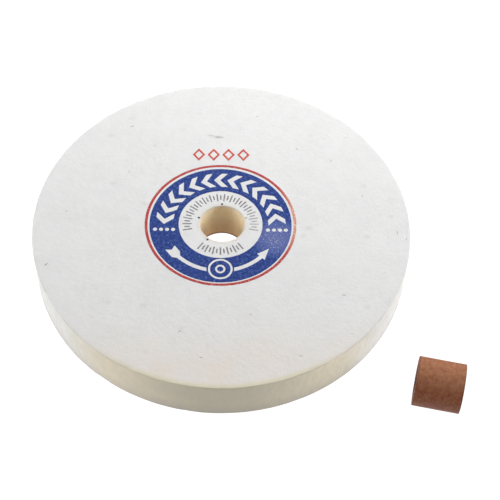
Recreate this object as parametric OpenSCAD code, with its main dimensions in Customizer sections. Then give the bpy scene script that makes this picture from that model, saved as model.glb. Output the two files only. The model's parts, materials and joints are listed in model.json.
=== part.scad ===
// Hard felt polishing wheel with a loose reducing bush.
// The origin is on the wheel's axis at its back face, +Z points out of the printed front face,
// and the wheel lies on its back face with the bush on its side beside it.

/* [Felt wheel] */
// Outer diameter of the wheel
wheel_d = 203.2; // [150:0.1:260]
// Thickness of the wheel
wheel_t = 25.4; // [19:0.1:40]
// Diameter of the arbor bore
bore_d = 25.4; // [19:0.1:30]
// Radius that the cut leaves on the two outer rims
rim_round = 0.5; // [0.3:0.1:3]
// Radius that the punch leaves on the two mouths of the bore
mouth_round = 0.4; // [0.1:0.1:1]

/* [Reducing bush] */
// How much smaller across the bush is than the bore
bush_play = 0.04; // [0.02:0.01:0.1]
// Length of the bush
bush_l = 24; // [19:0.1:26]
// Diameter of the hole through the bush
bush_bore_d = 15.875; // [8:0.005:20]
// Bevel on the four edges of the bush
bush_bevel = 0.2; // [0.1:0.05:1]
// Distance of the bush from the wheel's axis, along X
bush_x = 110.4; // [105:0.1:160]
// Distance of the bush from the wheel's axis, along Y
bush_y = -91.5; // [-160:0.1:-80]
// Angle from +X to the bush's axis
bush_turn = -12; // [-60:0.1:60]

/* [Printed label] */
// How deep the inks soak into the felt
ink_depth = 0.25; // [0.1:0.05:0.5]
// Offset of the stamped label from the wheel's axis, along X
label_x = -0.7; // [-2:0.1:2]
// Outer radius of the blue band
band_outer_r = 38.3; // [34:0.1:38.6]
// Inner radius of the blue band
band_inner_r = 22.6; // [21:0.1:23]
// Middle radius of the red ring
ring_r = 40.1; // [40.1:0.1:43]
// Width of the red ring's line
ring_line = 1.5; // [0.6:0.1:1.8]
// How far above the blue band's centre the red ring is stamped, along Y
ring_slip = 0.4; // [-0.6:0.1:0.6]

/* [Marks in the blue band] */
// Number of chevrons around the upper half of the band
chevrons = 13; // [3:1:13]
// Angle from one chevron to the next
chevron_pitch = 13.9; // [12:0.1:14.2]
// Height of a chevron, from its inner end to its outer end
chevron_h = 9.4; // [6:0.1:11]
// Thickness of a chevron's arms, measured around the band
chevron_w = 3.5; // [2:0.1:4]
// How far a chevron's point leads its ends
chevron_lead = 4.2; // [2:0.1:5]
// Radius of the circle on which the chevrons and the arrow lie
mark_r = 30.3; // [29:0.1:31]
// Width of the arrow's shaft
arrow_w = 2.2; // [1:0.1:3]
// Angle at which the arrow's tail ends
arrow_tail = 211.2; // [205:0.1:225]
// Angle at which the arrow's point ends
arrow_tip = 328.1; // [315:0.1:335]
// How far the arrow is stamped off the label's centre, along X
arrow_slip = -0.4; // [-0.6:0.1:0.6]
// Outer radius of the wheel sign below the bore
sign_r = 6.5; // [4:0.1:7]
// Width of the wheel sign's two rings
sign_line = 1.1; // [0.6:0.1:1.6]
// Number of dots in each side row
side_dots = 4; // [2:1:4]
// Diameter of a side dot
side_dot_d = 2.2; // [1:0.1:2.4]

/* [Marks on the felt] */
// Number of lozenges that show the grade
lozenges = 4; // [1:1:6]
// Height of a lozenge
lozenge_h = 9; // [6:0.1:12]
// Width of a lozenge
lozenge_w = 7; // [5:0.1:9]
// Width of a lozenge's line
lozenge_line = 1.1; // [0.6:0.1:1.4]
// Inner radius of the grey tick scale
scale_inner_r = 15.6; // [15.3:0.1:17]
// Length of the long grey ticks
tick_l = 5; // [2:0.1:5.2]
// Width of a grey tick
tick_w = 0.75; // [0.3:0.05:1]
// Angle from one tick to the next
tick_step = 6; // [4:1:12]
// Number of dots around the mouth of the bore
layout_dots = 5; // [3:1:8]
// Diameter of a dot at the bore
layout_dot_d = 1.1; // [0.5:0.1:1.1]

/* [Hidden] */

$fn = 180;
cut = 0.5;
wheel_r = wheel_d / 2;
bore_r = bore_d / 2;
bush_r = (bore_d - bush_play) / 2;
bush_bore_r = bush_bore_d / 2;

sign_place_r = mark_r - 0.6;
sign_gap = 0.8;
side_dot_pitch = side_dot_d + 1;
side_dot_y = -3.9;
shaft_r = mark_r + 0.5;
head_l = 7;
head_half_w = 2.8;
tail_l = 7.6;
tail_half_w = 2.8;
tail_notch = 1.7;
flight_l = 5.5;
lozenge_pitch = lozenge_w + 1.3;
lozenge_gap = 3;
lozenge_y = ring_slip + ring_r + ring_line / 2 + lozenge_gap + lozenge_h / 2;
dots_r = bore_r + mouth_round + layout_dot_d / 2 + 0.1;

// Arcs of the tick scale, each from its first angle to its last: the long one over the bore and
// the short one under it.
scale_arcs = [[-12, 192], [234, 306]];

// A rectangle from x0 to x1 and from 0 to h, with its corners rounded by r0 at x0 and r1 at x1.
module rounded_section(x0, x1, h, r0, r1) {
    translate([x0 + r0, 0]) square([x1 - r1 - x0 - r0, h]);
    translate([x0, r0]) square([r0 + 1, h - 2 * r0]);
    translate([x1 - r1 - 1, r1]) square([r1 + 1, h - 2 * r1]);
    for (y = [r0, h - r0]) translate([x0 + r0, y]) circle(r = r0);
    for (y = [r1, h - r1]) translate([x1 - r1, y]) circle(r = r1);
}

// Lays a flat shape on the front face, as deep as the ink soaks in.
module inked() {
    translate([0, 0, wheel_t - ink_depth]) linear_extrude(ink_depth) children();
}

// The same shape as a pocket that reaches out past the face.
module pocket() {
    translate([0, 0, wheel_t - ink_depth]) linear_extrude(ink_depth + cut) children();
}

// Turns and moves a flat shape so that its X runs counterclockwise around the label's centre at
// angle a and its Y points inwards, at radius r.
module around(a, r) {
    rotate(a) translate([r, 0]) rotate(90) children();
}

// A flat ring with its middle line at radius r.
module ring(r, line) {
    difference() {
        circle(r = r + line / 2);
        circle(r = r - line / 2);
    }
}

// The part of a flat ring between two angles that are less than 180 degrees apart.
module ring_arc(r, line, a0, a1) {
    reach = 2 * r;
    middle = (a0 + a1) / 2;
    intersection() {
        ring(r, line);
        polygon([[0, 0], reach * [cos(a0), sin(a0)], reach * [cos(middle), sin(middle)],
                 reach * [cos(a1), sin(a1)]]);
    }
}

module chevron() {
    back = (chevron_w + chevron_lead) / 2;
    front = back - chevron_w;
    half = chevron_h / 2;
    polygon([[back, 0], [back - chevron_lead, half], [back - chevron_lead - chevron_w, half],
             [front, 0], [back - chevron_lead - chevron_w, -half], [back - chevron_lead, -half]]);
}

// A point beside the arrow's curved shaft: out from its middle line, and along it from angle a.
function by_shaft(a, along, out) =
    let (angle = a + along / shaft_r * 180 / PI) (shaft_r + out) * [cos(angle), sin(angle)];

module arrow() {
    shaft_start = arrow_tail + (tail_l - 0.5) / shaft_r * 180 / PI;
    shaft_end = arrow_tip - (head_l - 1) / shaft_r * 180 / PI;
    ring_arc(shaft_r, arrow_w, shaft_start, shaft_end);
    polygon([by_shaft(arrow_tip, 0, 0), by_shaft(arrow_tip, -head_l, head_half_w),
             by_shaft(arrow_tip, -head_l, -head_half_w)]);
    polygon([by_shaft(arrow_tail, tail_notch, 0), by_shaft(arrow_tail, 0, tail_half_w),
             by_shaft(arrow_tail, flight_l, tail_half_w), by_shaft(arrow_tail, tail_l, arrow_w / 2),
             by_shaft(arrow_tail, tail_l, -arrow_w / 2), by_shaft(arrow_tail, flight_l, -tail_half_w),
             by_shaft(arrow_tail, 0, -tail_half_w)]);
}

module wheel_sign() {
    ring(sign_r - sign_line / 2, sign_line);
    ring(sign_r / 3, sign_line);
}

module side_row() {
    for (i = [0 : side_dots - 1])
        translate([(i - (side_dots - 1) / 2) * side_dot_pitch, side_dot_y]) circle(d = side_dot_d);
}

// Everything in the band that the blue ink leaves bare.
module bare_marks() {
    for (i = [0 : chevrons - 1])
        around(90 + (i - (chevrons - 1) / 2) * chevron_pitch, mark_r) chevron();
    for (side = [-1, 1]) translate([side * mark_r, 0]) side_row();
    difference() {
        translate([arrow_slip, 0]) arrow();
        translate([0, -sign_place_r]) circle(r = sign_r + sign_gap);
    }
    translate([0, -sign_place_r]) wheel_sign();
}

module blue_shape() {
    translate([label_x, 0]) difference() {
        circle(r = band_outer_r);
        circle(r = band_inner_r);
        bare_marks();
    }
}

module red_ring_shape() {
    translate([label_x, ring_slip]) ring(ring_r, ring_line);
}

module lozenge(h, w) {
    polygon([[w / 2, 0], [0, h / 2], [-w / 2, 0], [0, -h / 2]]);
}

module grade_shape() {
    inset = lozenge_line * sqrt(lozenge_h * lozenge_h + lozenge_w * lozenge_w);
    for (i = [0 : lozenges - 1])
        translate([label_x + (i - (lozenges - 1) / 2) * lozenge_pitch, lozenge_y]) difference() {
            lozenge(lozenge_h, lozenge_w);
            lozenge(lozenge_h - 2 * inset / lozenge_w, lozenge_w - 2 * inset / lozenge_h);
        }
}

module scale_shape() {
    for (arc = scale_arcs, i = [0 : floor((arc[1] - arc[0]) / tick_step)])
        let (l = i % 2 == 0 ? tick_l : 0.6 * tick_l)
            translate([label_x, 0]) rotate(arc[0] + i * tick_step)
                translate([scale_inner_r + (tick_l - l) / 2, -tick_w / 2]) square([l, tick_w]);
}

module dots_shape() {
    for (i = [0 : layout_dots - 1])
        rotate(90 + i * 360 / layout_dots) translate([dots_r, 0]) circle(d = layout_dot_d, $fn = 24);
}

module felt_wheel() {
    color("whitesmoke") difference() {
        rotate_extrude() rounded_section(bore_r, wheel_r, wheel_t, mouth_round, rim_round);
        pocket() blue_shape();
        pocket() red_ring_shape();
        pocket() grade_shape();
        pocket() scale_shape();
        pocket() dots_shape();
    }
}

module blue_band_print() {
    color("royalblue") inked() blue_shape();
}

module red_ring_print() {
    color("indianred") inked() red_ring_shape();
}

module red_grade_marks() {
    color("indianred") inked() grade_shape();
}

module grey_scale_print() {
    color("dimgray") inked() scale_shape();
}

module bore_layout_dots() {
    color("saddlebrown") inked() dots_shape();
}

module reducing_bush() {
    color("sienna")
        translate([bush_x, bush_y, bush_r]) rotate([0, 0, bush_turn]) rotate([0, 90, 0])
            translate([0, 0, -bush_l / 2]) rotate_extrude()
                polygon([[bush_bore_r + bush_bevel, 0], [bush_r - bush_bevel, 0], [bush_r, bush_bevel],
                         [bush_r, bush_l - bush_bevel], [bush_r - bush_bevel, bush_l],
                         [bush_bore_r + bush_bevel, bush_l], [bush_bore_r, bush_l - bush_bevel],
                         [bush_bore_r, bush_bevel]]);
}

felt_wheel();
blue_band_print();
red_ring_print();
red_grade_marks();
grey_scale_print();
bore_layout_dots();
reducing_bush();
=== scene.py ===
import json
import math

import bmesh
import bpy
import numpy as np
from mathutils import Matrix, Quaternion, Vector


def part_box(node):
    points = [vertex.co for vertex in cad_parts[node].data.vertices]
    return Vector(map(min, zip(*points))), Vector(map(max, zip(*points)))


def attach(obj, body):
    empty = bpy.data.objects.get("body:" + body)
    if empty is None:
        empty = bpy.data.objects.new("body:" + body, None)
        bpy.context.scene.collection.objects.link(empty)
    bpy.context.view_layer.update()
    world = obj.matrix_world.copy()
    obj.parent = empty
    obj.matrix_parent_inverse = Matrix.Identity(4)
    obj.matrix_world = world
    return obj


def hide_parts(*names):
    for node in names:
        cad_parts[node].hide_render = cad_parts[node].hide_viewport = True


# A hard felt polishing wheel with a stamped label, lying on its back face, and the loose fibre bush
# that reduces its bore. Everything is in metres in the part's own frame.

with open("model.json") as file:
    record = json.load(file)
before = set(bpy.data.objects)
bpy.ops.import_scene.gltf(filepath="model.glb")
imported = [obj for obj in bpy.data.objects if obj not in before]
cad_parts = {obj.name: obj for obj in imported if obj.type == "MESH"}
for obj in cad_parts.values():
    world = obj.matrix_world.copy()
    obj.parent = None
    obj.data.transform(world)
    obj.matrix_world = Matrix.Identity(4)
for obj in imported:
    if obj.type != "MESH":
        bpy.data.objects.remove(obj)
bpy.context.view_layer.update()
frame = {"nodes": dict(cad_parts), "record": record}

MM = 0.001
SEED = 471

mounts = {mount["name"]: mount for mount in frame["record"]["mounts"]}


def mount_size(name, dimension):
    """A mount's size in metres."""
    return mounts[name]["dims"][dimension] * MM


wheel_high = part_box("felt_wheel")[1]
wheel_r = wheel_high.x
wheel_t = wheel_high.z
bore_r = mount_size("wheel_bore", "r_mm")
mouth_round = (wheel_t - mount_size("wheel_bore", "length_mm")) / 2
rim_round = 0.5 * MM
band_low, band_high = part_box("blue_band_print")
band_r = (band_high.x - band_low.x) / 2
ink_depth = band_high.z - band_low.z

bush_centre = Vector(mounts["bush_bore"]["pos_m"])
bush_axis = Vector(mounts["bush_bore"]["axis"])
bush_turn = math.atan2(bush_axis.y, bush_axis.x)
bush_r = mount_size("bush_outside", "r_mm")
bush_bore_r = mount_size("bush_bore", "r_mm")
bush_low, bush_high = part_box("reducing_bush")
bush_half_l = ((bush_high.x - bush_low.x) / 2 - bush_r * abs(bush_axis.y)) / bush_axis.x
bush_bevel = bush_half_l - mount_size("bush_outside", "length_mm") / 2


# ---------------------------------------------------------------- noise and mesh helpers

def hashed(cells, seed):
    """A value from -1 to 1 for each cell, which looks random but is always the same."""
    x, y, z = cells.T
    mixed = (x * 374761393 + y * 668265263 + z * 1442695041 + seed * 974634777) & 0xFFFFFFFF
    mixed = ((mixed ^ (mixed >> 13)) * 1274126177) & 0xFFFFFFFF
    return ((mixed ^ (mixed >> 16)) & 0xFFFF) / 32767.5 - 1


def lumps(points, size, seed):
    """Smooth noise from -1 to 1 at these points, in lumps of about this size."""
    place = points / size
    cell = np.floor(place).astype(np.int64)
    share = place - cell
    share = share * share * (3 - 2 * share)
    total = np.zeros(len(points))
    for corner in np.ndindex(2, 2, 2):
        total += hashed(cell + corner, seed) * np.where(corner, share, 1 - share).prod(axis=1)
    return total


def rows_between(start, end, step):
    """Evenly spaced values from start up to but not including end, about one step apart."""
    count = max(1, round(abs(end - start) / step))
    return np.linspace(start, end, count, endpoint=False)


def arc_rows(centre, radius, first, last, steps):
    """Points along an arc of a section, from one angle in degrees up to but not including another."""
    angle = np.radians(np.linspace(first, last, steps, endpoint=False))
    return np.stack([centre[0] + radius * np.cos(angle), centre[1] + radius * np.sin(angle)], 1)


def line_rows(start, end, step):
    """Points along a straight stretch of a section, without its end."""
    start, end = np.array(start), np.array(end)
    share = rows_between(0, 1, step / np.linalg.norm(end - start))
    return start + share[:, None] * (end - start)


def lathe(section, segments):
    """A closed section of (radius, height) rows turned around Z: its points, faces and normals."""
    angle = np.linspace(0, 2 * math.pi, segments, endpoint=False)
    along = np.roll(section, -1, 0) - np.roll(section, 1, 0)
    along /= np.linalg.norm(along, axis=1)[:, None]

    def turned(radial, height):
        shape = (len(section), segments)
        return np.stack([np.outer(radial, np.cos(angle)), np.outer(radial, np.sin(angle)),
                         np.broadcast_to(height[:, None], shape)], -1).reshape(-1, 3)

    points = turned(section[:, 0], section[:, 1])
    normals = turned(along[:, 1], -along[:, 0])
    row, column = np.indices((len(section), segments))
    below = (row + 1) % len(section) * segments
    right = (column + 1) % segments
    row = row * segments
    faces = np.stack([row + column, row + right, below + right, below + column], -1).reshape(-1, 4)
    return points, faces, normals


def add_piece(name, points, faces, body, material, stands_for=()):
    """A smooth mesh piece that rides on a body and hides the CAD parts that it stands for."""
    mesh = bpy.data.meshes.new(name)
    mesh.from_pydata(np.asarray(points).tolist(), [], [list(face) for face in faces])
    mesh.validate()
    solid = bmesh.new()
    solid.from_mesh(mesh)
    bmesh.ops.recalc_face_normals(solid, faces=solid.faces)
    solid.to_mesh(mesh)
    solid.free()
    mesh.shade_smooth()
    mesh.materials.append(material)
    piece = bpy.data.objects.new(name, mesh)
    bpy.context.scene.collection.objects.link(piece)
    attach(piece, body)
    if stands_for:
        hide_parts(*stands_for)


# ---------------------------------------------------------------- shader helpers

class Shader:
    """A material with a Principled shader, and short calls for the nodes that feed it."""

    def __init__(self, name, **settings):
        self.material = bpy.data.materials.new(name)
        self.material.use_nodes = True
        self.tree = self.material.node_tree
        self.surface = self.tree.nodes["Principled BSDF"]
        for socket, value in settings.items():
            self.surface.inputs[socket.replace("_", " ")].default_value = value
        self.place = self.tree.nodes.new("ShaderNodeTexCoord").outputs["Object"]

    def feed(self, socket, value):
        """Links an output to an input, or sets the input's own value."""
        if isinstance(value, bpy.types.NodeSocket):
            self.tree.links.new(value, socket)
        else:
            socket.default_value = value

    def math(self, operation, a, b=0.0):
        """One step of arithmetic on two values."""
        node = self.tree.nodes.new("ShaderNodeMath")
        node.operation = operation
        self.feed(node.inputs[0], a)
        self.feed(node.inputs[1], b)
        return node.outputs[0]

    def moved(self, place=None, centre=(0, 0, 0), turn=(0, 0, 0), stretch=(1, 1, 1)):
        """Places measured from a centre along turned axes, then stretched."""
        node = self.tree.nodes.new("ShaderNodeMapping")
        node.vector_type = "TEXTURE"
        self.feed(node.inputs["Vector"], place or self.place)
        node.inputs["Location"].default_value = centre
        node.inputs["Rotation"].default_value = turn
        node.inputs["Scale"].default_value = stretch
        return node.outputs[0]

    def noise(self, size, detail=2.0, place=None):
        """Cloudy noise around 0.5 with lumps of about this size in metres."""
        node = self.tree.nodes.new("ShaderNodeTexNoise")
        self.feed(node.inputs["Vector"], place or self.place)
        node.inputs["Scale"].default_value = 1 / size
        node.inputs["Detail"].default_value = detail
        return node.outputs["Fac"]

    def bands(self, size, value):
        """Cloudy noise around 0.5 along one value, in bands of about this size."""
        node = self.tree.nodes.new("ShaderNodeTexNoise")
        node.noise_dimensions = "1D"
        node.inputs["Scale"].default_value = 1 / size
        self.feed(node.inputs["W"], value)
        return node.outputs["Fac"]

    def cells(self, size, place=None):
        """Distance from the nearest of scattered points about this far apart, in spacings."""
        node = self.tree.nodes.new("ShaderNodeTexVoronoi")
        self.feed(node.inputs["Vector"], place or self.place)
        node.inputs["Scale"].default_value = 1 / size
        return node.outputs["Distance"]

    def step(self, value, low, high, start=0.0, end=1.0):
        """Smoothly from start to end as the value goes from low to high."""
        node = self.tree.nodes.new("ShaderNodeMapRange")
        node.interpolation_type = "SMOOTHSTEP"
        for socket, number in zip(node.inputs, (value, low, high, start, end)):
            self.feed(socket, number)
        return node.outputs[0]

    def mix(self, share, a, b):
        """Colour a, turning into colour b as share goes from 0 to 1."""
        node = self.tree.nodes.new("ShaderNodeMix")
        node.data_type = "RGBA"
        self.feed(node.inputs["Factor"], share)
        self.feed(node.inputs["A"], a)
        self.feed(node.inputs["B"], b)
        return node.outputs["Result"]

    def parts(self, place=None):
        """The three coordinates of a place."""
        node = self.tree.nodes.new("ShaderNodeSeparateXYZ")
        self.feed(node.inputs[0], place or self.place)
        return node.outputs

    def reach(self, a, b):
        """Length of the hypotenuse over two coordinates."""
        squares = self.math("ADD", self.math("MULTIPLY", a, a), self.math("MULTIPLY", b, b))
        return self.math("SQRT", squares)

    def spot(self, centre, size, wide=1.0, turn=0.0):
        """Distance from a centre in units of size, or of wide times as much along its turned X."""
        node = self.tree.nodes.new("ShaderNodeVectorMath")
        node.operation = "LENGTH"
        self.feed(node.inputs[0], self.moved(
            centre=centre, turn=(0, 0, math.radians(turn)), stretch=(size * wide, size, size)))
        return node.outputs["Value"]

    def fibres(self, size, stretch=7.0):
        """Fine crossing streaks, like short fibres pressed flat, from 0 to 1."""
        total = None
        for turn in (12, 75, 131):
            streaks = self.noise(size, detail=1.0, place=self.moved(
                turn=(0.3, 0.2, math.radians(turn)), stretch=(stretch, 1, 1)))
            total = streaks if total is None else self.math("MAXIMUM", total, streaks)
        return self.step(total, 0.5, 0.75)

    def bump(self, height, depth, below=None):
        """Tilts the surface by a height map from 0 to 1 that is this deep in metres."""
        node = self.tree.nodes.new("ShaderNodeBump")
        node.inputs["Distance"].default_value = depth
        self.feed(node.inputs["Height"], height)
        if below:
            self.feed(node.inputs["Normal"], below)
        return node.outputs[0]

    def finish(self, colour, rough=None, normal=None):
        """Feeds the surface and hands over the finished material."""
        self.feed(self.surface.inputs["Base Color"], colour)
        if rough is not None:
            self.feed(self.surface.inputs["Roughness"], rough)
        if normal:
            self.feed(self.surface.inputs["Normal"], normal)
        return self.material


def shade(red, green, blue):
    """A colour from its linear red, green and blue."""
    return (red, green, blue, 1.0)


FACE_WHITE = shade(0.735, 0.735, 0.732)
FACE_GREY = shade(0.650, 0.650, 0.650)
FACE_WARM = shade(0.760, 0.690, 0.620)
EDGE_CREAM = shade(0.710, 0.665, 0.515)
RIM_WHITE = shade(0.690, 0.685, 0.675)
RIM_CREAM = shade(0.735, 0.660, 0.510)
RIM_SHADE = shade(0.590, 0.555, 0.475)
RIM_FRONT_SHADE = shade(0.44, 0.425, 0.350)
FOOT_SHADE_GREY = shade(0.46, 0.43, 0.39)
MOUTH_WHITE = shade(0.70, 0.665, 0.605)
BORE_TAN = shade(0.885, 0.765, 0.545)
BORE_DEEP = shade(0.57, 0.39, 0.21)
BORE_SHADE = shade(0.12, 0.05, 0.02)
DARK_WOOL = shade(0.17, 0.14, 0.12)
SMUDGE_GREY = shade(0.17, 0.17, 0.175)

BUSH_DEEP_BROWN = shade(0.220, 0.069, 0.036)
BUSH_BROWN = shade(0.315, 0.120, 0.055)
BUSH_TOP_LIGHT = shade(0.46, 0.245, 0.135)
BUSH_STREAK = shade(0.37, 0.162, 0.110)
BUSH_PIT = shade(0.12, 0.04, 0.022)
BUSH_REFLECTED_GREY = shade(0.27, 0.155, 0.135)
BUSH_INSIDE_LIGHT = shade(0.60, 0.33, 0.21)
BUSH_LAYER = shade(0.11, 0.036, 0.02)
BUSH_WEAR_AND_SHADE = shade(0.10, 0.048, 0.038)

# Smudges on the front face: x, y and half width in mm, stretch, direction in degrees, and how dark.
SMUDGES = ((-2.4, 61.8, 1.3, 2.8, -2, 0.30),
           (-6.9, 62.8, 1.2, 3.2, -6, 0.11),
           (0.6, 70.9, 0.9, 3.0, 0, 0.07),
           (-22.2, 67.4, 1.4, 1.3, 20, 0.07),
           (10.4, 67.9, 1.4, 1.5, 0, 0.06))


def face_colour(shader, radius, y, from_front):
    """Faintly cloudy white, warmer towards the front and cream along that edge, both painted warm light.
    """
    cloud = shader.math("ADD", shader.noise(22 * MM), shader.noise(4.5 * MM, detail=3.0))
    face = shader.mix(shader.step(cloud, 0.75, 1.35, 0.0, 0.36), FACE_WHITE, FACE_GREY)
    patchy = shader.step(shader.noise(14 * MM), 0.3, 0.7, 0.55, 1.0)
    # Painted warm light: the face turns warmer towards the front.
    warm_light = shader.step(y, -wheel_r, -0.5 * wheel_r, 0.85, 0.0)
    face = shader.mix(shader.math("MULTIPLY", warm_light, patchy), face, FACE_WARM)
    # Painted warm light: a cream strip along the front edge.
    near_rim = shader.step(radius, wheel_r - 3.6 * MM, wheel_r - 0.8 * MM)
    near_rim = shader.math("MULTIPLY", near_rim, shader.step(from_front, 0.45, 0.95, 1.0, 0.0))
    near_bore = shader.step(radius, bore_r, bore_r + 1.5 * MM, 0.8, 0.0)
    return shader.mix(near_rim, shader.mix(near_bore, face, MOUTH_WHITE), EDGE_CREAM)


def rim_colour(shader, z, from_front):
    """The cut rim: off-white, cream in front with painted warm light, darker in front with painted shade,
    and greyer where it stands with painted contact shade.
    """
    # Painted warm light: the rim is cream in front and off-white at the sides.
    rim = shader.mix(shader.step(from_front, 0.72, 1.22, 1.0, 0.0), RIM_WHITE, RIM_CREAM)
    # Painted shade: the front of the rim, which faces away from the lamps, is darkened.
    rim = shader.mix(shader.step(from_front, 0.2, 0.75, 0.26, 0.0), rim, RIM_FRONT_SHADE)
    streaks = shader.noise(3.2 * MM, detail=3.0, place=shader.moved(stretch=(1, 1, 2.2)))
    rim = shader.mix(shader.step(streaks, 0.35, 0.7, 0.0, 0.35), rim, RIM_SHADE)
    # Painted contact shade: the rim darkens towards the table it stands on.
    lower_shade = shader.step(z, 2 * MM, 9.5 * MM, 0.3, 0.0)
    contact_shade = shader.step(z, 0.6 * MM, 2.6 * MM, 0.35, 0.0)
    darker_at_foot = shader.math("ADD", lower_shade, contact_shade)
    return shader.mix(darker_at_foot, rim, FOOT_SHADE_GREY)


def bore_colour(shader, y, z):
    """The bore's wall: tan, browner with depth, darker on its far side and dark at its lower edge, all
    three darkenings painted shade.
    """
    # Painted shade: the tan wall turns browner down into the bore; the noise below adds real brown
    # patches.
    wall = shader.mix(shader.step(z, 1 * MM, wheel_t - 7 * MM), BORE_DEEP, BORE_TAN)
    wall = shader.mix(shader.step(shader.noise(3 * MM, detail=3.0), 0.4, 0.7, 0.0, 0.15), wall, BORE_DEEP)
    # Painted shade on the far wall, stronger lower down.
    on_one_side = shader.step(y, 0.76 * bore_r, 0.99 * bore_r)
    with_depth = shader.step(z, 9 * MM, wheel_t - 1 * MM, 0.34, 0.02)
    painted_shade = shader.math("MULTIPLY", on_one_side, with_depth)
    # Painted contact shade at the wall's lower edge, by the table.
    contact_shade = shader.step(z, 0.9 * MM, 2.6 * MM, 0.85, 0.0)
    return shader.mix(shader.math("MAXIMUM", painted_shade, contact_shade), wall, BORE_SHADE)


def flecked(shader, colour):
    """The colour with a few scattered dark flecks and the smudges on the front face."""
    flecks = shader.cells(11 * MM, shader.moved(stretch=(1.8, 0.6, 1)))
    blots = shader.cells(17 * MM, shader.moved(stretch=(1.3, 1, 1)))
    dark = shader.math("MAXIMUM", shader.step(flecks, 0.02, 0.05, 0.20, 0.0),
                       shader.step(blots, 0.02, 0.13, 0.11, 0.0))
    colour = shader.mix(dark, colour, DARK_WOOL)
    for x_mm, y_mm, half_w, wide, turn, share in SMUDGES:
        away = shader.spot((x_mm * MM, y_mm * MM, wheel_t), half_w * MM, wide, turn)
        colour = shader.mix(shader.step(away, 0.1, 1.2, share, 0.0), colour, SMUDGE_GREY)
    return colour


def felt_colour(shader):
    """White faces, a cut rim that is cream in front, and a tan bore, all with a few dark flecks."""
    x, y, z = shader.parts()
    radius = shader.reach(x, y)
    from_front = shader.spot((0, -wheel_r, wheel_t), 80 * MM)
    at_rim = shader.step(radius, wheel_r - 0.45 * MM, wheel_r - 0.1 * MM)
    face = face_colour(shader, radius, y, from_front)
    colour = shader.mix(at_rim, face, rim_colour(shader, z, from_front))
    near_wall = shader.step(radius, bore_r + 0.3 * MM, bore_r + 0.8 * MM, 1.0, 0.0)
    below_face = shader.step(z, wheel_t - 1.3 * MM, wheel_t - 0.2 * MM, 1.0, 0.0)
    in_bore = shader.math("MULTIPLY", near_wall, below_face)
    colour = shader.mix(in_bore, colour, bore_colour(shader, y, z))
    return flecked(shader, colour)


def felt_relief(shader):
    """Small lumps under a nap of crossing fibres."""
    soft = shader.bump(shader.noise(2.2 * MM, detail=3.0), 0.25 * MM)
    return shader.bump(shader.fibres(0.35 * MM), 0.06 * MM, soft)


def felt_material():
    """Hard pressed white wool with a matt, faintly downy surface."""
    shader = Shader("hard_wool_felt", Roughness=0.92, Sheen_Weight=0.12, Sheen_Roughness=0.5,
                    Specular_IOR_Level=0.12)
    return shader.finish(felt_colour(shader), normal=felt_relief(shader))


def ink_material(name, ink, thin, bare, wear=0.0, wear_at=(0, 0), wear_size=10, faded=None):
    """Ink soaked into felt: thin in a fine cloud, with bare fibres in it, and faded where it is worn.

    The wear is centred at wear_at and fades out over wear_size, both in mm.
    """
    shader = Shader(name, Roughness=0.88, Sheen_Weight=0.08, Sheen_Roughness=0.5,
                    Specular_IOR_Level=0.12)
    wear_x, wear_y = wear_at
    away = shader.spot((wear_x * MM, wear_y * MM, wheel_t), wear_size * MM)
    worn = shader.step(away, 0.15, 1.0, 1.0, 0.0)
    cloud = shader.math("ADD", shader.noise(1.5 * MM, detail=3.0), shader.math("MULTIPLY", worn, 0.35))
    colour = shader.mix(shader.step(cloud, 0.38, 0.78), ink, thin)
    if faded:
        colour = shader.mix(shader.math("MULTIPLY", worn, 0.7), colour, faded)
    grain = shader.math("ADD", shader.noise(0.8 * MM, detail=3.0), shader.math("MULTIPLY", worn, wear))
    colour = shader.mix(shader.step(grain, 1 - bare, 1.25 - bare), colour, felt_colour(shader))
    return shader.finish(colour, normal=felt_relief(shader))


def bush_wall_colour(shader, local, streaks, pits):
    """Mottled red-brown fibre with paler streaks and dark pits, paler on top with painted light and
    greyer below with a painted reflection of the floor.
    """
    height = shader.parts()[2]
    cloud = shader.noise(2.0 * MM, detail=3.0, place=local)
    colour = shader.mix(shader.step(cloud, 0.32, 0.68), BUSH_DEEP_BROWN, BUSH_BROWN)
    patchy = shader.step(shader.noise(2.5 * MM, place=local), 0.35, 0.65, 0.6, 1.35)
    # Painted light: the top of the bush is made paler and yellower, in patches.
    lit_top = shader.math("MULTIPLY", patchy, shader.step(height, 20 * MM, 25 * MM, 0.0, 0.29))
    colour = shader.mix(lit_top, colour, BUSH_TOP_LIGHT)
    colour = shader.mix(shader.step(streaks, 0.48, 0.75, 0.0, 0.5), colour, BUSH_STREAK)
    colour = shader.mix(shader.step(pits, 0.28, 0.42, 0.45, 0.0), colour, BUSH_PIT)
    # Painted reflection: the bush turns greyer towards the bottom, as if reflecting the white floor.
    return shader.mix(shader.step(height, 9 * MM, 20 * MM, 0.42, 0.0), colour, BUSH_REFLECTED_GREY)


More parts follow.
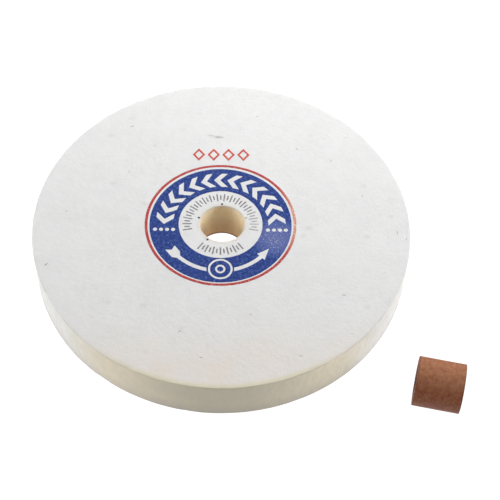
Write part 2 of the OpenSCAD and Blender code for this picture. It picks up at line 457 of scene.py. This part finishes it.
def bush_material():
    """Vulcanised fibre: turned outside, in rolled layers that show on its ends, with dark edges."""
    shader = Shader("vulcanised_fibre", Specular_IOR_Level=0.08)
    local = shader.moved(centre=bush_centre, turn=(0, 0, bush_turn))
    x, y, z = shader.parts(local)
    radius = shader.reach(y, z)
    streaks = shader.noise(1.0 * MM, detail=3.0, place=shader.moved(local, stretch=(1, 2.5, 2.5)))
    pits = shader.noise(0.7 * MM, place=local)
    colour = bush_wall_colour(shader, local, streaks, pits)
    # Painted light: the bush's bore is made paler to lift the shade inside it.
    lit_inside = shader.step(radius, bush_bore_r + 0.1 * MM, bush_bore_r + 0.4 * MM, 0.7, 0.0)
    colour = shader.mix(lit_inside, colour, BUSH_INSIDE_LIGHT)
    off_end = shader.math("SUBTRACT", bush_half_l, shader.math("ABSOLUTE", x))
    at_end = shader.step(off_end, 0.05 * MM, 0.15 * MM, 1.0, 0.0)
    layers = shader.step(shader.bands(0.35 * MM, radius), 0.4, 0.6, 0.0, 0.30)
    colour = shader.mix(shader.math("MULTIPLY", at_end, layers), colour, BUSH_LAYER)
    worn = shader.step(off_end, 0.2 * MM, 0.75 * MM, 0.45, 0.0)
    # Painted shade along the underside, near the table; the darkening of the ends above is real wear.
    painted_shade = shader.step(shader.parts()[2], 6.5 * MM, 9 * MM, 0.75, 0.0)
    colour = shader.mix(shader.math("MAXIMUM", worn, painted_shade), colour, BUSH_WEAR_AND_SHADE)
    gloss = shader.step(streaks, 0.3, 0.7, 0.72, 0.58)
    rough = shader.math("MAXIMUM", gloss, shader.math("MULTIPLY", worn, 1.5))
    turning = shader.noise(0.35 * MM, place=shader.moved(local, stretch=(1, 30, 30)))
    relief_map = shader.bump(pits, 0.08 * MM, shader.bump(turning, 0.03 * MM))
    return shader.finish(colour, rough, relief_map)


# ---------------------------------------------------------------- the wheel

def relief(points):
    """How far the felt stands proud of its plain shape."""
    return (0.10 * MM * lumps(points, 55 * MM, SEED)
            + 0.05 * MM * lumps(points, 8 * MM, SEED + 1)
            + 0.025 * MM * lumps(points, 3 * MM, SEED + 2))


def wheel_section():
    """The wheel's section, counterclockwise from the inner edge of its back face."""
    label_r = band_r + 16 * MM
    rim = wheel_r - rim_round
    mouth = bore_r + mouth_round
    soft = 0.45 * MM
    front = wheel_t
    return np.concatenate([
        line_rows((mouth, 0), (rim, 0), 2.2 * MM),
        arc_rows((rim, rim_round), rim_round, -90, 0, 4),
        line_rows((wheel_r, rim_round), (wheel_r, front - rim_round), 1.1 * MM),
        arc_rows((rim, front - rim_round), rim_round, 0, 90, 4),
        line_rows((rim, front), (label_r, front), 1.4 * MM),
        line_rows((label_r, front), (bore_r + soft, front), 0.8 * MM),
        arc_rows((bore_r + soft, front - soft), soft, 90, 180, 6),
        line_rows((bore_r, front - soft), (bore_r, mouth_round), 1.0 * MM),
        arc_rows((mouth, mouth_round), mouth_round, 180, 270, 4)])


def smooth(value, low, high):
    """Smoothly from 0 to 1 as the value goes from low to high."""
    share = np.clip((value - low) / (high - low), 0, 1)
    return share * share * (3 - 2 * share)


def bore_lip(points):
    """How far the felt has crept into the bore around its front mouth, unevenly."""
    angle = np.arctan2(points[:, 1], points[:, 0])
    radius = np.hypot(points[:, 0], points[:, 1])
    lean = 0.60 * MM - 0.28 * MM * np.cos(angle) - 0.33 * MM * np.sin(angle)
    rough = 0.10 * MM * lumps(points, 4 * MM, SEED + 4) + 0.05 * MM * lumps(points, 1.5 * MM, SEED + 10)
    near_mouth = smooth(points[:, 2], wheel_t - 7 * MM, wheel_t - 1 * MM)
    return (lean + rough) * near_mouth * (1 - smooth(radius, bore_r + 0.7 * MM, bore_r + 2.6 * MM))


def crept(points):
    """The points after the felt has crept into the bore."""
    shrink = 1 - bore_lip(points) / np.hypot(points[:, 0], points[:, 1])
    return points * np.stack([shrink, shrink, np.ones(len(points))], 1)


def felt_body(material):
    """The felt disc: faintly lumpy, dented along its rims and flat where it lies on the table."""
    points, faces, normals = lathe(wheel_section(), segments=440)
    points = crept(points)
    radius = np.hypot(points[:, 0], points[:, 1])
    rise = relief(points)
    from_edge = np.minimum(points[:, 2], wheel_t - points[:, 2]) + wheel_r - radius
    at_edge = np.exp(-from_edge / (0.8 * MM)) * (radius > wheel_r - 3 * MM)
    dents = np.maximum(lumps(points, 4.5 * MM, SEED + 3) - 0.1, 0)
    rise -= at_edge * (0.02 * MM + 0.32 * MM * dents)
    on_table = points[:, 2] < rim_round
    rise = np.where(on_table, -np.abs(rise), rise)
    add_piece("felt_body", points + normals * rise[:, None], faces, "wheel", material,
              ["felt_wheel"])


def printed_outline(node, grid):
    """The flat top of a printed CAD node, cut along a grid so that it can follow the felt."""
    low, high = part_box(node)
    mesh = bmesh.new()
    mesh.from_mesh(frame["nodes"][node].data)
    hidden = [face for face in mesh.faces
              if face.normal.z < 0.9 or face.calc_center_median().z < high.z - 0.01 * MM]
    bmesh.ops.delete(mesh, geom=hidden, context="FACES")
    bmesh.ops.remove_doubles(mesh, verts=mesh.verts, dist=1e-6)
    for axis in (0, 1):
        normal = Vector((1 - axis, axis, 0))
        for place in np.arange(low[axis] + grid / 2, high[axis], grid):
            cut = bmesh.ops.bisect_plane(mesh, geom=mesh.verts[:] + mesh.edges[:] + mesh.faces[:],
                                         plane_co=normal * place, plane_no=normal)
            for part in cut["geom_cut"]:
                if isinstance(part, bmesh.types.BMEdge):
                    part.seam = True
    bmesh.ops.dissolve_limit(mesh, angle_limit=0.01, verts=mesh.verts, edges=mesh.edges,
                             delimit={"SEAM"})
    mesh.verts.ensure_lookup_table()
    points = np.array([vert.co for vert in mesh.verts])
    border = np.array([vert.is_boundary for vert in mesh.verts])
    faces = [[vert.index for vert in face.verts] for face in mesh.faces]
    edges = [[loop.vert.index, loop.link_loop_next.vert.index]
             for edge in mesh.edges if edge.is_boundary for loop in edge.link_loops]
    mesh.free()
    return points, border, faces, edges


def print_skin(name, node, material, lift=0.04 * MM, ragged=0.07 * MM, grid=0.8 * MM):
    """A closed skin of ink that lies on the felt's own relief, with faintly ragged edges."""
    points, border, faces, edges = printed_outline(node, grid)
    for axis in (0, 1):
        points[border, axis] += ragged * lumps(points[border], 0.9 * MM, SEED + 5 + axis)
    top = crept(points)
    top[:, 2] = wheel_t + relief(top) + lift
    bottom = top - (0, 0, ink_depth)
    count = len(top)
    walls = [[b, a, a + count, b + count] for a, b in edges]
    floor = [[vertex + count for vertex in reversed(face)] for face in faces]
    add_piece(name, np.concatenate([top, bottom]), faces + floor + walls, "wheel", material,
              [node])


def blue_band():
    """The broad band, a little faded on one side."""
    ink = ink_material("blue_ink", shade(0.018, 0.042, 0.200), shade(0.062, 0.110, 0.350), bare=0.36,
                       wear=0.10, wear_at=(29, -9), wear_size=16, faded=shade(0.125, 0.150, 0.345))
    print_skin("blue_band", "blue_band_print", ink)


def red_ring():
    """The thin ring around the band, rubbed thin and orange on one side."""
    ink = ink_material("red_ring_ink", shade(0.43, 0.052, 0.054), shade(0.52, 0.11, 0.10), bare=0.40,
                       wear=0.14, wear_at=(38, 3), wear_size=25, faded=shade(0.68, 0.32, 0.20))
    print_skin("red_ring", "red_ring_print", ink)


def grade_marks():
    """The red lozenges above the ring."""
    ink = ink_material("red_mark_ink", shade(0.55, 0.08, 0.065), shade(0.62, 0.14, 0.11), bare=0.38)
    print_skin("grade_marks", "red_grade_marks", ink)


def grey_scale():
    """The ticks around the bore, fainter on one side."""
    ink = ink_material("grey_ink", shade(0.20, 0.190, 0.205), shade(0.34, 0.325, 0.34), bare=0.40,
                       wear=0.10, wear_at=(19, -2), wear_size=16, faded=shade(0.45, 0.43, 0.45))
    print_skin("grey_scale", "grey_scale_print", ink)


def layout_dots():
    """The dark dots around the mouth of the bore, almost gone on one side."""
    ink = ink_material("dark_dot_ink", shade(0.035, 0.022, 0.018), shade(0.08, 0.055, 0.045), bare=0.15,
                       wear=0.62, wear_at=(11, -6), wear_size=22, faded=shade(0.45, 0.40, 0.33))
    print_skin("layout_dots", "bore_layout_dots", ink, grid=0.3 * MM)


# ---------------------------------------------------------------- loose wool

def fibre_rows(start, along, bend, length, width, count):
    """Middle points and thicknesses of one bent fibre that tapers at both ends."""
    share = np.linspace(0, 1, count)
    middle = start + np.outer(share, along) * length + np.outer(share ** 2, bend) * length
    return middle, width * (0.35 + 0.65 * np.sin(math.pi * np.clip(share, 0.08, 0.92)))


def fibre_mesh(fibres, rings=4):
    """Points and faces of closed three-sided fibres, each with this many rings of points."""
    points, faces = [], []
    for start, along, bend, length, width in fibres:
        middle, thickness = fibre_rows(start, along, bend, length, width, rings)
        side = np.cross(along, (0.3, 0.5, 0.8))
        side /= np.linalg.norm(side)
        other = np.cross(along, side)
        first = len(points)
        for centre, thick in zip(middle, thickness):
            for angle in (0, 2.1, 4.2):
                points.append(centre + thick / 2 * (math.cos(angle) * side + math.sin(angle) * other))
        for ring in range(rings - 1):
            for k in range(3):
                a = first + 3 * ring + k
                b = first + 3 * ring + (k + 1) % 3
                faces.append((a, b, b + 3, a + 3))
        faces.append((first + 2, first + 1, first))
        last = first + 3 * (rings - 1)
        faces.append((last, last + 1, last + 2))
    return np.array(points), faces


def unit(vector):
    """The vector's direction, with a length of one."""
    return vector / np.linalg.norm(vector)


def fuzz_root(random, kind, out, around, lean):
    """Where one loose end of wool starts, and which way it points."""
    up = np.array((0, 0, 1.0))
    if kind == "rim":
        tilt = random.uniform(0.1, 1.2)
        root = out * (wheel_r - 0.35 * MM) + up * (wheel_t - 0.35 * MM)
        return root, out * math.cos(tilt) + up * math.sin(tilt) * 0.6 + around * lean
    if kind == "mouth":
        root = out * (bore_r - 0.3 * MM) + up * (wheel_t - 0.6 * MM)
        return root, -out * random.uniform(0.2, 1) + up * random.uniform(0, 0.6) + around * lean
    if kind == "wall":
        root = out * (wheel_r - 0.05 * MM) + up * random.uniform(1.5 * MM, wheel_t - 1 * MM)
        return root, out * 0.25 + up * random.normal(0, 0.5) + around * random.normal(0, 1)
    root = out * math.sqrt(random.uniform((45 * MM) ** 2, wheel_r ** 2)) + up * wheel_t
    return root, up * 0.12 + out * random.normal(0, 1) + around * random.normal(0, 1)


def fuzz_fibres(random):
    """Loose ends of wool: standing off the rims and the mouth, lying down on the front face."""
    fibres = []
    for kind, count in (("rim", 700), ("mouth", 260), ("wall", 320), ("face", 620)):
        for _ in range(count):
            turn = random.uniform(0, 2 * math.pi)
            out = np.array((math.cos(turn), math.sin(turn), 0))
            around = np.array((-out[1], out[0], 0))
            lean = random.normal(0, 0.7)
            length = random.uniform(0.5, 1.3) * MM
            if kind == "face":
                length *= 1.5
            root, along = fuzz_root(random, kind, out, around, lean)
            bend = random.normal(0, 0.25, 3) * (1, 1, 0.2)
            width = random.uniform(0.03, 0.06) * MM
            fibres.append((root, unit(along), bend, length, width))
    return fibres


# Stray dark fibres on the front face: x and y in mm, direction in degrees, length and width in mm.
STRAY_FIBRES = (
    (-1.8, 61.5, -8, 3.2, 0.26), (-2.6, 61.9, 4, 2.6, 0.20), (-0.4, 61.6, 10, 2.4, 0.20),
    (-6.6, 62.8, -10, 2.6, 0.14), (-51.5, 69.3, 20, 1.9, 0.36), (-51.5, 36, 70, 1.8, 0.34),
    (42, 53.3, -20, 1.7, 0.44), (61, 45, 40, 1.6, 0.32), (70, 62, -50, 1.6, 0.30),
    (94.5, -5, 80, 1.8, 0.36), (99, -9.4, 60, 1.6, 0.30), (-92, -27.5, 50, 2.3, 0.40),
    (63.5, -45.6, -10, 1.8, 0.32), (-21, -68.5, 30, 1.6, 0.36), (-9.8, -83.7, 10, 1.6, 0.34),
    (40, -83, -35, 2.6, 0.30), (-84, 8, 15, 1.4, 0.26), (-38, 55, -40, 1.4, 0.24),
    (20, 78, 25, 1.5, 0.26), (77, 20, -70, 1.4, 0.26), (15, -58, 50, 1.3, 0.24))


def stray_fibres(random):
    """The stray dark fibres, lying on the felt's relief."""
    fibres = []
    for x, y, turn, length, width in STRAY_FIBRES:
        angle = math.radians(turn)
        along = np.array((math.cos(angle), math.sin(angle), 0))
        start = np.array((x, y, 0)) * MM - along * length * MM / 2
        rise = relief(np.array([(x * MM, y * MM, wheel_t)]))[0]
        start[2] = wheel_t + rise + 0.02 * MM
        bend = random.normal(0, 0.18, 3) * (1, 1, 0)
        fibres.append((start, along, bend, length * MM, width * MM))
    return fibres


def dark_fibre_material():
    """Stray fibres of darker wool, from nearly black to grey."""
    shader = Shader("dark_wool_fibre", Roughness=0.8, Specular_IOR_Level=0.2)
    tone = shader.mix(shader.noise(1.5 * MM), shade(0.12, 0.10, 0.09), shade(0.42, 0.38, 0.35))
    return shader.finish(tone)


def fuzz(random, material):
    """The loose ends of wool, as one piece."""
    points, faces = fibre_mesh(fuzz_fibres(random))
    add_piece("felt_fuzz", points, faces, "wheel", material)


def strays(random):
    """The stray dark fibres, as one piece."""
    points, faces = fibre_mesh(stray_fibres(random), rings=6)
    add_piece("stray_fibres", points, faces, "wheel", dark_fibre_material())


# ---------------------------------------------------------------- the bush

def bush_section():
    """The bush's section, counterclockwise from the inner edge of its lower end."""
    half = bush_half_l
    outer, inner = bush_r - bush_bevel, bush_bore_r + bush_bevel
    return np.concatenate([
        line_rows((inner, -half), (outer, -half), 0.5 * MM),
        arc_rows((outer, bush_bevel - half), bush_bevel, -90, 0, 4),
        line_rows((bush_r, bush_bevel - half), (bush_r, half - bush_bevel), 0.6 * MM),
        arc_rows((outer, half - bush_bevel), bush_bevel, 0, 90, 4),
        line_rows((outer, half), (inner, half), 0.5 * MM),
        arc_rows((inner, half - bush_bevel), bush_bevel, 90, 180, 4),
        line_rows((bush_bore_r, half - bush_bevel), (bush_bore_r, bush_bevel - half), 0.8 * MM),
        arc_rows((inner, bush_bevel - half), bush_bevel, 180, 270, 4)])


def bush_body(material):
    """The bush, with shallow hollows and fine turning rings, laid along its axis."""
    points, faces, normals = lathe(bush_section(), segments=160)
    hollows = 0.04 * MM * np.abs(lumps(points, 3 * MM, SEED + 8))
    rings = 0.02 * MM * np.abs(lumps(points * (1, 1, 6), 2 * MM, SEED + 9))
    points = points - normals * (hollows + rings)[:, None]
    turn = Vector((0, 0, 1)).rotation_difference(bush_axis)
    matrix = np.array(turn.to_matrix())
    add_piece("fibre_bush", points @ matrix.T + np.array(bush_centre), faces, "bush",
              material, ["reducing_bush"])


# ---------------------------------------------------------------- studio

def softbox(name, place, size, power):
    """A square area light that is aimed at the origin and that the camera doesn't see."""
    light = bpy.data.lights.new(name, "AREA")
    light.energy = power
    light.size = size
    lamp = bpy.data.objects.new(name, light)
    lamp.location = place
    lamp.rotation_mode = "QUATERNION"
    lamp.rotation_quaternion = (-Vector(place)).to_track_quat("-Z", "Y")
    lamp.visible_camera = False
    bpy.context.scene.collection.objects.link(lamp)


def room():
    """A white room that the camera sees but that adds no light of its own."""
    world = bpy.data.worlds.new("studio")
    bpy.context.scene.world = world
    world.use_nodes = True
    world.node_tree.nodes["Background"].inputs["Color"].default_value = shade(1, 1, 1)
    world.cycles_visibility.diffuse = False
    world.cycles_visibility.glossy = False


def lights():
    """Four softboxes around the wheel, all aimed at its middle."""
    softbox("overhead", place=(0, 0, 0.80), size=0.5, power=2.0)
    softbox("left", place=(-0.74, 0, 0.30), size=0.5, power=4.9)
    softbox("right", place=(0.74, 0, 0.30), size=0.5, power=5.4)
    softbox("behind", place=(0.08, 0.34, 0.22), size=0.3, power=1.05)


def table():
    """A sheet of white paper that glows like a light box."""
    paper = Shader("floor_paper", Roughness=0.9, Emission_Color=shade(1, 1, 1), Emission_Strength=1.0)
    tone = paper.mix(paper.noise(40 * MM), shade(0.14, 0.14, 0.14), shade(0.16, 0.16, 0.16))
    paper.finish(tone)
    bpy.ops.mesh.primitive_grid_add(x_subdivisions=8, y_subdivisions=8, size=6)
    floor = bpy.context.object
    floor.name = "floor"
    floor.data.materials.append(paper.material)


def photographer():
    """The camera, in front of the wheel and above it, aimed a little off its axis and tilted."""
    distance = 0.6985
    elevation = math.radians(54.02)
    tilt = 0.038
    aim = Vector((0.0157, 0.00125, 0))
    camera = bpy.data.cameras.new("camera")
    camera.sensor_width = 36
    camera.lens = 90.6
    viewer = bpy.data.objects.new("camera", camera)
    viewer.location = (0, -distance * math.cos(elevation), distance * math.sin(elevation))
    viewer.rotation_mode = "QUATERNION"
    level = (aim - viewer.location).to_track_quat("-Z", "Y")
    viewer.rotation_quaternion = level @ Quaternion((0, 0, 1), tilt)
    bpy.context.scene.collection.objects.link(viewer)
    bpy.context.scene.camera = viewer


# ---------------------------------------------------------------- making

photographer()
room()
lights()
table()
bpy.context.scene.view_settings.view_transform = "Standard"

felt = felt_material()
felt_body(felt)
blue_band()
red_ring()
grade_marks()
grey_scale()
layout_dots()

random = np.random.RandomState(SEED)
fuzz(random, felt)
strays(random)
bush_body(bush_material())
